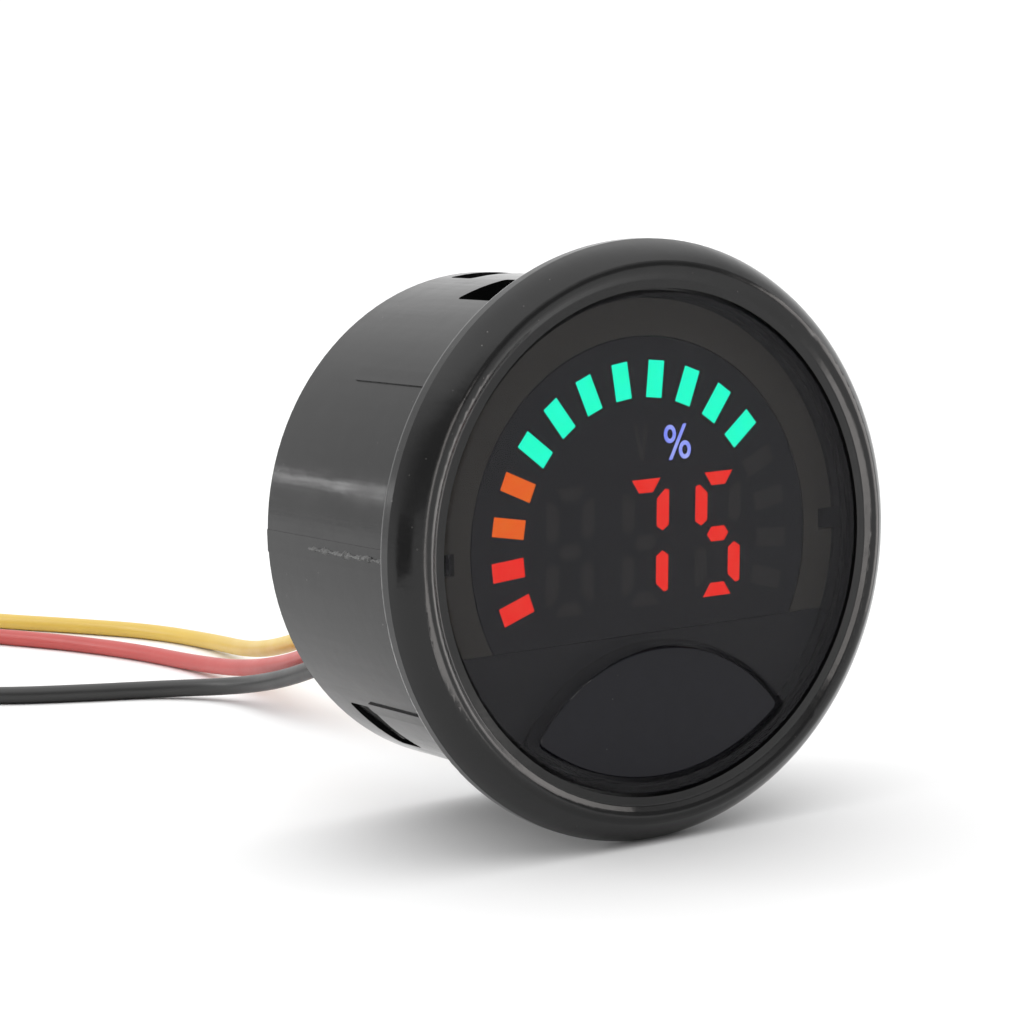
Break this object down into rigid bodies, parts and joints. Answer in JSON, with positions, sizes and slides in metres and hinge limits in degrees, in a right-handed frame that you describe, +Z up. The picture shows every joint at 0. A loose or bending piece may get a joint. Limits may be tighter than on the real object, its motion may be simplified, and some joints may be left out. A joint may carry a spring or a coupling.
{
  "type": "battery monitor display head",
  "caption": "Round panel-mounted battery monitor display with an arc of bars, a digit display, a crescent push key and free leads.",
  "frame": {"origin": "centre of the flange's rear seat, on the axis of the round body", "axes": "+Y runs along the body into the panel, +Z is up and +X is to the right of somebody facing the display"},
  "size_m": [0.06, 0.2186, 0.06],
  "materials": {
    "housing_black": "moulded, glossy",
    "lens_smoke": "polished smoked polycarbonate",
    "seal_black": "adhesive foam ring",
    "key_black": "glossy",
    "inner_black": "satin",
    "steel": "plated",
    "switch_red": "satin",
    "pins_tin": "tinned",
    "ring_brown": "satin",
    "display_black": "matt printed face",
    "glow_red": "lit diffuser",
    "glow_orange": "lit diffuser",
    "glow_green": "lit diffuser",
    "glow_blue": "lit diffuser",
    "diffuser_off": "milky, unlit",
    "board_green": "solder mask",
    "chip_black": "moulded epoxy",
    "ferrite": "pressed ferrite",
    "can_aluminium": "drawn can",
    "ceramic_tan": "ceramic",
    "header_cream": "nylon",
    "rubber_black": "soft rubber",
    "wire_yellow": "PVC sheath",
    "wire_red": "PVC sheath",
    "wire_black": "PVC sheath",
    "wire_tin": "tinned strands"
  },
  "bodies": {
    "head": {"housing": "housing_black", "lens": "lens_smoke", "lens_seal": "seal_black", "key_carrier": "inner_black", "switch_base": "inner_black", "switch_cover": "steel", "switch_legs": "pins_tin", "display_ring": "ring_brown", "display_block": "display_black", "bars_red": "glow_red", "bars_orange": "glow_orange", "bars_green": "glow_green", "bars_unlit": "diffuser_off", "digits_lit": "glow_red", "digits_unlit": "diffuser_off", "percent_sign": "glow_blue", "volt_sign": "diffuser_off", "display_pins": "pins_tin", "main_board": "board_green", "board_screws": "steel", "micro_chip": "chip_black", "driver_chip": "chip_black", "regulator": "chip_black", "chip_pins": "pins_tin", "inductor": "ferrite", "capacitor_base": "inner_black", "capacitor_can": "can_aluminium", "diode": "chip_black", "small_chips": "ceramic_tan", "wire_header": "header_cream", "header_pins": "pins_tin", "wire_plug": "header_cream", "wire_contacts": "pins_tin", "rear_cover": "housing_black", "wire_grommet": "rubber_black", "lead_inner_yellow": "wire_yellow", "lead_inner_red": "wire_red", "lead_inner_black": "wire_black", "lead_yellow": "wire_yellow", "lead_red": "wire_red", "lead_black": "wire_black", "lead_tip_yellow": "wire_tin", "lead_tip_red": "wire_tin", "lead_tip_black": "wire_tin"},
    "key": {"push_key": "key_black"},
    "plunger": {"switch_plunger": "switch_red"}
  },
  "joints": [
    {"name": "key_press", "type": "slide", "parent": "head", "child": "key", "axis": [0, 1, 0], "range_m": [0, 0.0004], "stiffness_N_per_m": 400},
    {"name": "plunger_press", "type": "slide", "parent": "head", "child": "plunger", "axis": [0, 1, 0], "range_m": [0, 0.0004]}
  ],
  "couplings": [
    {"joint": "plunger_press", "follows": "key_press", "ratio": 1}
  ]
}
